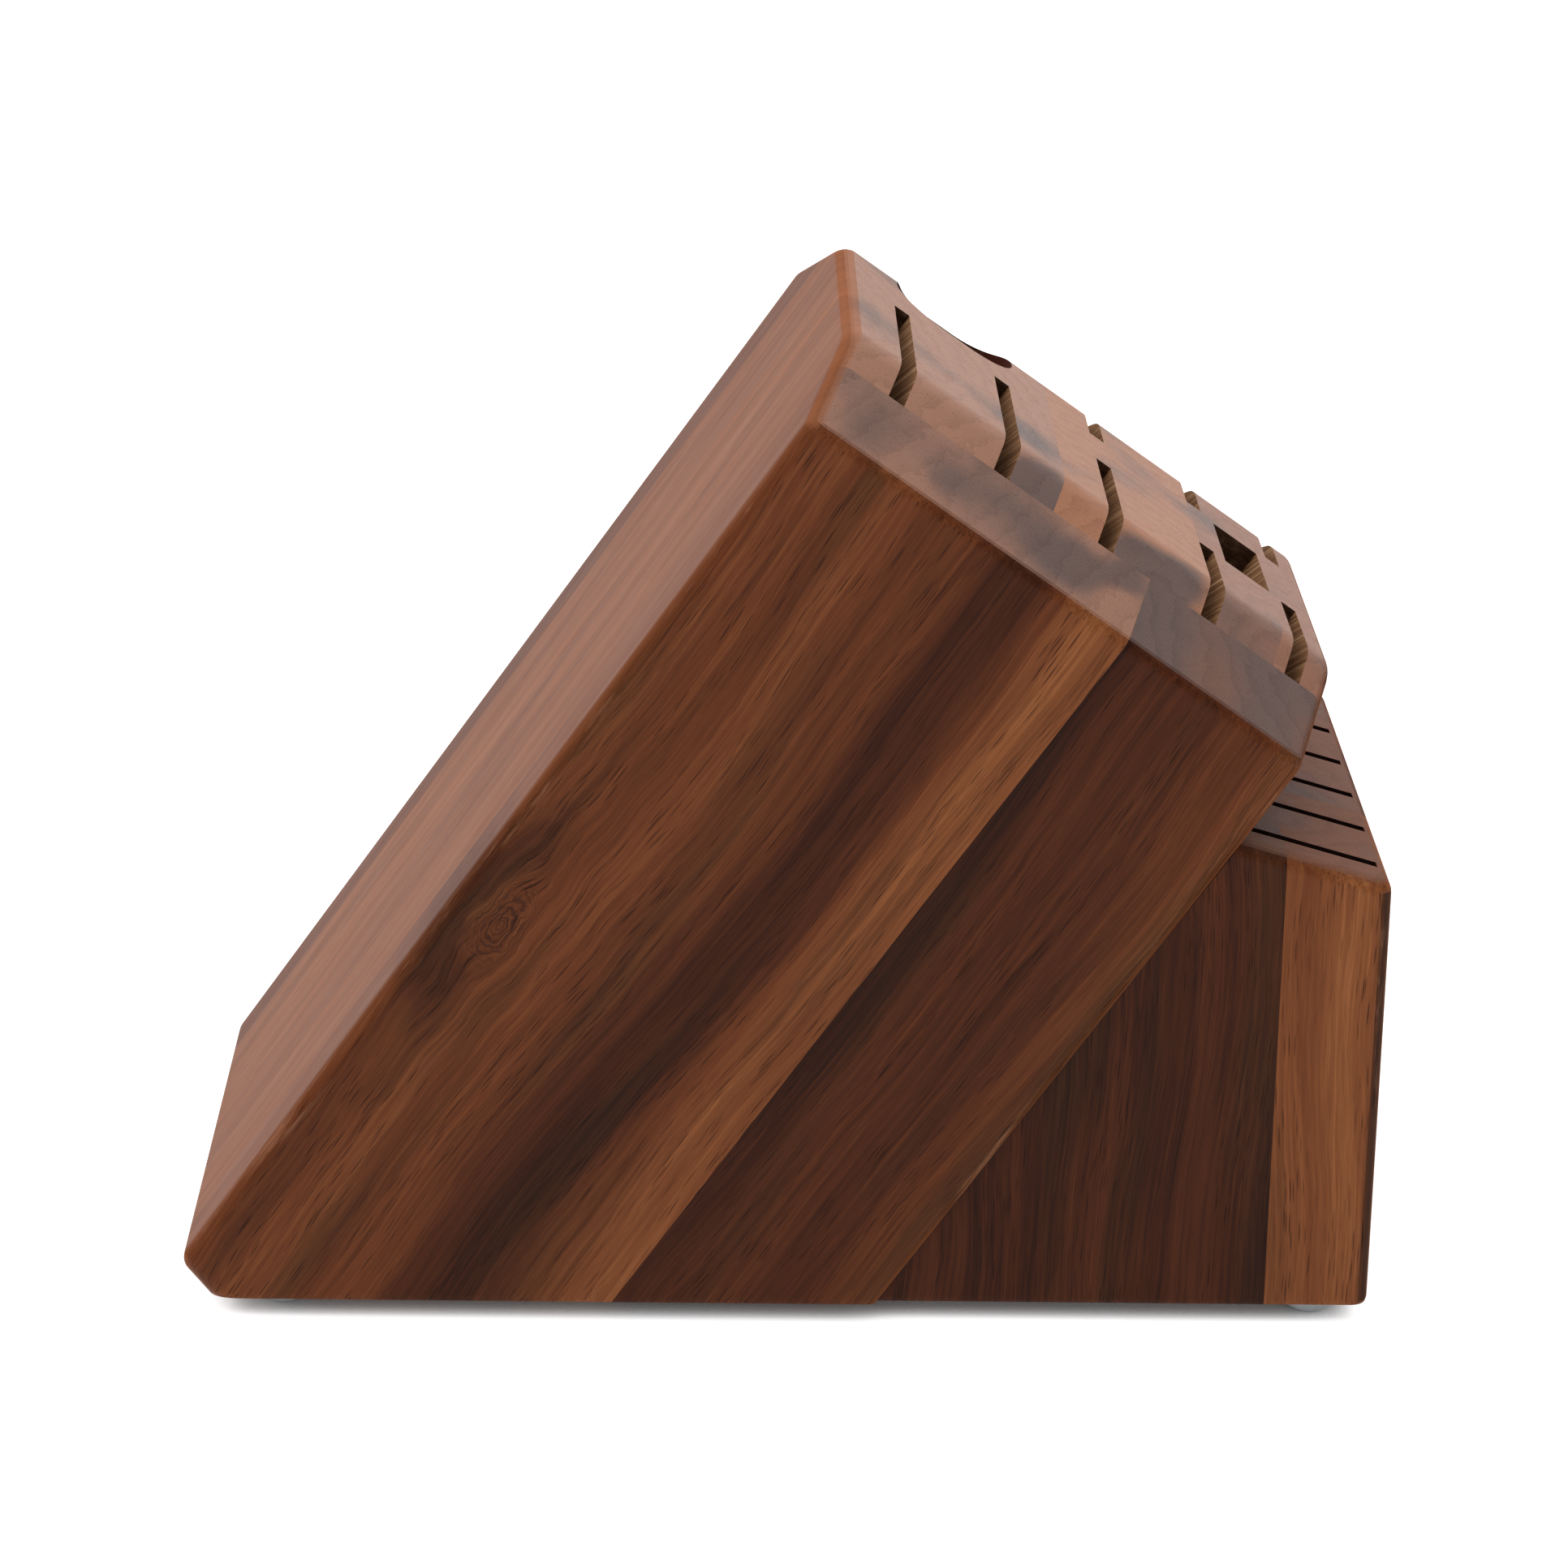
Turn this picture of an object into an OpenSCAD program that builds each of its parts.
// Slanted knife block: a leaning main block glued up from staves, with sawn knife
// slots, and a low front block with six thin steak-knife slots, on four rubber feet.
// +X is the front, where the knives are drawn, and +Z is up.  "Left" and "right" are
// those of a person who stands in front of the block: left is -Y.

/* [Main block] */
// Width over both side panels
block_w = 140; // [125:1:160]
// Lean of the main block, up from the horizontal
lean = 55; // [50:1:60]
// Length of the main block along its lean, at the side panels
block_len = 245; // [230:1:260]
// Length of the flat base under the main block
base_len = 148; // [140:1:156]
// Depth of the short square end at the rear of the base
heel_cut = 13.5; // [10:0.5:18]
// Rise of the flat middle of the top end above its side edges
crown = 16; // [10:0.5:20]
// Width of each sloping side facet of the top end
facet_w = 29; // [24:1:34]
// Radius of the outer edges
edge_r = 4; // [2:0.5:5]
// Depth planed off the rounded base edges to make the flat base
base_plane = 2.5; // [0.5:0.5:3]
// Radius of the two soft ridges on the top end
ridge_r = 15; // [8:1:20]

/* [Staves] */
// Thickness of the side panels
panel_t = 19; // [16:0.5:22]
// Width of the rear stave of each side panel
side_stave_w = 85.5; // [82:0.5:88]
// Width of the rear core board
rear_board_w = 58.8; // [55:0.1:62]

/* [Knife slots] */
// Thickness of the sawn knife slots
slot_t = 4.2; // [3:0.1:4.5]
// Distance of the first slot from the back face
first_slot = 16.1; // [15:0.1:18]
// Distance between the slots
slot_pitch = 28.5; // [28:0.1:28.6]
// Distance from the fourth slot to the fifth
last_pitch = 23.4; // [22:0.1:24]
// Depth of the first and second slots, in from the left panel
wide_slot = 62.5; // [55:0.5:63]
// Depth of the third slot, in from the left panel
mid_slot = 52; // [45:0.5:55]
// Depth of the fourth slot, in from the left panel
fourth_slot = 41; // [36:0.5:44]
// Depth of the fifth slot, in from the left panel
fifth_slot = 39; // [34:0.5:42]
// Depth of the three small slots, in from the right panel
small_slot = 28.5; // [24:0.5:30]

/* [Wells] */
// Thickness of the rectangular shears well
shears_t = 12.7; // [10:0.1:14]
// Width of the rectangular shears well
shears_w = 30; // [26:0.5:30]
// Depth of the shears well
shears_deep = 150; // [120:5:165]
// Width across the block of the oval steel well
oval_w = 27; // [22:0.5:27]
// Length along the top end of the oval steel well
oval_len = 33.6; // [28:0.2:34]
// Depth of the oval steel well
oval_deep = 200; // [150:5:220]

/* [Front block] */
// Reach of the front block ahead of the main block's base
front_reach = 113; // [105:1:120]
// Height of the front face above the base
front_h = 103; // [95:1:108]
// Fall of the front block's top towards the front, in degrees
front_fall = 16; // [10:1:20]
// Step from the side of the main block to the side of the front block
front_step = 2.2; // [0:0.2:4]
// Thickness of the three staves along the front
front_stave_t = 24; // [20:0.5:28]
// Thickness of the steak-knife kerfs
kerf_t = 3; // [2:0.1:3]
// Distance between the steak-knife kerfs
kerf_pitch = 22.8; // [20:0.1:22.8]
// Wood left between a kerf and the front face
kerf_wall = 2.6; // [2:0.2:6]

/* [Dowels and feet] */
// Diameter of the dowels that locate the front block
dowel_d = 8; // [6:1:8]
// Length of the dowels
dowel_len = 30; // [24:1:30]
// Diameter of the rubber feet where they meet the wood
foot_d = 16; // [12:1:18]
// Height of the feet
foot_h = 5; // [4:0.5:6]
// Distance from the wood's edges to the centre of a foot
foot_inset = 12.5; // [12:0.5:16]

/* [Hidden] */
$fn = 96;
round_fn = 32;       // sides round a ball that eases the edges
eps = 0.5;           // overshoot of a cut past the wood
far = 400;           // longer than the whole block

half_w = block_w / 2;
block_t = base_len * sin(lean) + heel_cut;         // back face to underside
base_rise = base_len * cos(lean);                  // how far up the lean the base runs
top_len = block_len + crown;                       // length at the flat middle of the top
core_half = half_w - panel_t;
front_half = half_w - front_step;
kerfs = 6;

// The corner of the rear end is rounded, so it reaches back a little less than its planes.
rear_reach = base_len + heel_cut * sin(lean) - edge_r * (sin(lean) + cos(lean) - 1);
heel_x = (rear_reach - front_reach) / 2;           // where both blocks' bases meet
front_x = heel_x + front_reach;

slot_at = [first_slot, first_slot + slot_pitch, first_slot + 2 * slot_pitch,
    first_slot + 3 * slot_pitch, first_slot + 3 * slot_pitch + last_pitch];
left_depth = [wide_slot, wide_slot, mid_slot, fourth_slot, fifth_slot];
small_slots = [2, 3, 4];                           // which slots have a small one opposite
oval_y = 36;                                       // across, from the block's middle
oval_back = 0.5;                                   // how far the oval starts behind slot one
oval_at = [first_slot - oval_back + oval_len / 2, oval_y];
shears_at = [113.4, 4.2];                          // from the back face, and across
front_joint = slot_at[3] - slot_t / 2;             // the fourth slot is sawn beside this joint
nose_joint = shears_at[0] + shears_t / 2;          // the shears well is routed up to this joint
dowel_up = [50, 100];                              // up the joint face from the base
dowel_in = 10;                                     // how far a dowel sits in the core

walnut = "#6b412b";
brown = "#7a4a30";
tan_wood = "#8d5c3c";
end_grain = "#8a6657";
beech = "#c79e6b";
rubber_grey = "#8b8f90";

// Offset of a rounded corner's centre: at distance r inside both faces, whose inward
// unit normals are a and b.
function inset(a, b, r) = r * (a + b) / (1 + a * b);

facet_n = [crown, -facet_w] / norm([crown, facet_w]);   // inward, across and up the lean
base_n = [-cos(lean), sin(lean)];                       // inward, from the back and up

// A ball with a point, not a small ring, at each pole, so that a hull of balls is even
module ball(r) {
    step = 360 / round_fn;
    rotate_extrude($fn = round_fn) polygon([for (a = [-90:step:90]) r * [cos(a), sin(a)]]);
}

// Places one of the main block's parts: X from the back face to the underside, Z up the lean.
module on_lean() {
    translate([heel_x - base_len - heel_cut * sin(lean), 0, foot_h + heel_cut * cos(lean)])
        rotate([0, 90 - lean, 0]) children();
}

// Centres of the balls along the left half of the top end, across and up the lean
ridge_turn = atan2(crown, facet_w);
ridge_steps = 5;                                    // balls round each soft ridge
ridge_mid = [-half_w + facet_w, top_len] + inset(facet_n, [0, -1], ridge_r);
top_balls = concat(
    [[-half_w, block_len] + inset([1, 0], facet_n, edge_r)],
    [for (i = [0:ridge_steps]) let (a = ridge_turn * (1 - i / ridge_steps))
        ridge_mid + (ridge_r - edge_r) * [-sin(a), cos(a)]]);

// Centres of the balls round the base, from the back face and up the lean.  Those along the
// base sit low, because the base is planed flat afterwards.
heel_r = 12;                                        // the soft corner behind the base
heel_steps = 3;
heel_mid = [heel_cut, 0] - base_plane * base_n + inset([0, 1], base_n, heel_r);
base_balls = concat(
    [[edge_r, edge_r]],
    [for (i = [0:heel_steps]) let (a = (90 - lean) * i / heel_steps)
        heel_mid - (heel_r - edge_r) * [-sin(a), cos(a)]],
    [[block_t, base_rise] - base_plane * base_n + inset([-1, 0], base_n, edge_r)]);

// The whole main block as one solid with eased edges, in its own frame
module main_envelope() {
    intersection() {
        hull()
            for (side = [-1, 1]) {
                for (p = base_balls)
                    translate([p[0], side * (half_w - edge_r), p[1]]) ball(edge_r);
                for (p = top_balls, x = [edge_r, block_t - edge_r])
                    translate([x, side * p[0], p[1]]) ball(edge_r);
            }
        translate([heel_cut, 0, 0]) rotate([0, lean - 90, 0])
            translate([-far, -half_w - eps, 0]) cube([2 * far, block_w + 2 * eps, far]);
    }
}

// The slice of the main block from x0 to x1 behind the underside and from y0 to y1 across
module main_slice(x0, x1, y0, y1) {
    intersection() {
        main_envelope();
        translate([x0, y0, -far / 2]) cube([x1 - x0, y1 - y0, far + top_len]);
    }
}

// Sawn slots: from the left panel and, where a small knife sits opposite, from the right
module knife_slots() {
    for (i = [0:len(slot_at) - 1])
        translate([slot_at[i] - slot_t / 2, -core_half - eps, -far / 2])
            cube([slot_t, left_depth[i] + eps, far + top_len]);
    for (i = small_slots)
        translate([slot_at[i] - slot_t / 2, core_half - small_slot, -far / 2])
            cube([slot_t, small_slot + eps, far + top_len]);
}

module oval_well() {
    spread = (oval_len - oval_w) / 2;
    translate([oval_at[0], oval_at[1], top_len - oval_deep]) {
        for (x = [-spread, spread]) translate([x, 0, 0]) cylinder(d = oval_w, h = far);
        translate([-spread, -oval_w / 2, 0]) cube([2 * spread, oval_w, far]);
    }
}

module shears_well() {
    translate([shears_at[0] - shears_t / 2, shears_at[1] - shears_w / 2, top_len - shears_deep])
        cube([shears_t, shears_w, far]);
}

// The dowels, square to the joint between the two blocks
module dowels() {
    for (up = dowel_up)
        translate([block_t - dowel_in, 0, base_rise + up])
            rotate([0, 90, 0]) cylinder(d = dowel_d, h = dowel_len);
}

module side_stave(x0, x1, side) {
    on_lean() main_slice(x0, x1, side < 0 ? -half_w - eps : core_half,
        side < 0 ? -core_half : half_w + eps);
}

module core_board(x0, x1) {
    on_lean() difference() {
        main_slice(x0, x1, -core_half, core_half);
        knife_slots();
        children();
    }
}

// The whole front block as one solid with eased edges, before the kerfs are sawn
module front_envelope() {
    top_n = [-sin(front_fall), -cos(front_fall)];
    top_in = inset([-1, 0], top_n, edge_r);
    back = heel_x - front_h;                        // well behind the joint, to be cut away
    ys = front_half - edge_r;
    low = foot_h + edge_r - base_plane;
    high = foot_h + front_h + top_in[1];
    intersection() {
        hull()
            for (y = [-ys, ys]) {
                translate([front_x - edge_r, y, low]) ball(edge_r);
                translate([front_x + top_in[0], y, high]) ball(edge_r);
                translate([back, y, low]) ball(edge_r);
                translate([back, y, high + (front_x + top_in[0] - back) * tan(front_fall)])
                    ball(edge_r);
            }
        translate([-far / 2, -half_w, foot_h]) cube([far, block_w, far]);
    }
}

// Everything behind the joint face between the two blocks
module behind_joint() {
    on_lean() translate([block_t - far, -half_w, -far]) cube([far, block_w, 2 * far]);
}

function kerf_y(i) = (i - (kerfs + 1) / 2) * kerf_pitch;

module steak_kerfs() {
    for (i = [1:kerfs])
        translate([-far, kerf_y(i) - kerf_t / 2, -eps])
            cube([far + front_x - kerf_wall, kerf_t, far]);
}

// The slice of the front block from x0 to x1 and from y0 to y1
module front_slice(x0, x1, y0, y1) {
    intersection() {
        front_envelope();
        translate([x0, y0, 0]) cube([x1 - x0, y1 - y0, far]);
    }
}

// One of the three staves along the front face: i is 0, 1 or 2 from the left
module front_stave(i) {
    w = 2 * front_half / 3;
    difference() {
        front_slice(front_x - front_stave_t, front_x + eps, -front_half + i * w - (i == 0 ? eps : 0),
            -front_half + (i + 1) * w + (i == 2 ? eps : 0));
        steak_kerfs();
    }
}

// One of the seven upright dividers between the kerfs, counted from the left
module steak_divider(i) {
    y0 = i == 1 ? -front_half - eps : kerf_y(i - 1) + kerf_t / 2;
    y1 = i == kerfs + 1 ? front_half + eps : kerf_y(i) - kerf_t / 2;
    color(i % 2 == 1 ? walnut : brown) difference() {
        front_slice(-far / 2, front_x - front_stave_t, y0, y1);
        behind_joint();
        on_lean() dowels();
    }
}

// A domed bumper foot with a small flat to stand on
module foot(x, y) {
    dome_h = foot_h + foot_flat;
    dome_r = (foot_d * foot_d / 4 + dome_h * dome_h) / (2 * dome_h);
    color(rubber_grey) translate([x, y, 0])
        rotate_extrude()
            intersection() {
                translate([0, foot_h + dome_r - dome_h]) circle(dome_r);
                square([foot_d, foot_h]);
            }
}

foot_flat = 0.6;                                    // cut off the dome for it to stand on
rear_foot_x = heel_x - base_len + foot_inset;
front_foot_x = front_x - foot_inset;
foot_y = half_w - foot_inset;

module left_side_rear_stave() { color(walnut) side_stave(0, side_stave_w, -1); }
module left_side_front_stave() { color(brown) side_stave(side_stave_w, block_t, -1); }
module right_side_rear_stave() { color(brown) side_stave(0, side_stave_w, 1); }
module right_side_front_stave() { color(walnut) side_stave(side_stave_w, block_t, 1); }
module rear_core_board() {
    color(end_grain) core_board(0, rear_board_w) oval_well();
}
module middle_core_board() {
    color(tan_wood) core_board(rear_board_w, front_joint);
}
module front_core_board() {
    color(end_grain) core_board(front_joint, nose_joint) shears_well();
}
module nose_core_board() {
    color(tan_wood) core_board(nose_joint, block_t) dowels();
}
module front_left_stave() { color(tan_wood) mirror([0, 1, 0]) front_stave(2); }
module front_middle_stave() { color(brown) front_stave(1); }
module front_right_stave() { color(tan_wood) front_stave(2); }
module locating_dowels() { color(beech) on_lean() dowels(); }
module rear_left_foot() { foot(rear_foot_x, -foot_y); }
module rear_right_foot() { foot(rear_foot_x, foot_y); }
module front_left_foot() { foot(front_foot_x, -foot_y); }
module front_right_foot() { foot(front_foot_x, foot_y); }

left_side_rear_stave();
left_side_front_stave();
right_side_rear_stave();
right_side_front_stave();
rear_core_board();
middle_core_board();
front_core_board();
nose_core_board();
front_left_stave();
front_middle_stave();
front_right_stave();
steak_divider(1);  // steak_divider_1
steak_divider(2);  // steak_divider_2
steak_divider(3);  // steak_divider_3
steak_divider(4);  // steak_divider_4
steak_divider(5);  // steak_divider_5
steak_divider(6);  // steak_divider_6
steak_divider(7);  // steak_divider_7
locating_dowels();
rear_left_foot();
rear_right_foot();
front_left_foot();
front_right_foot();
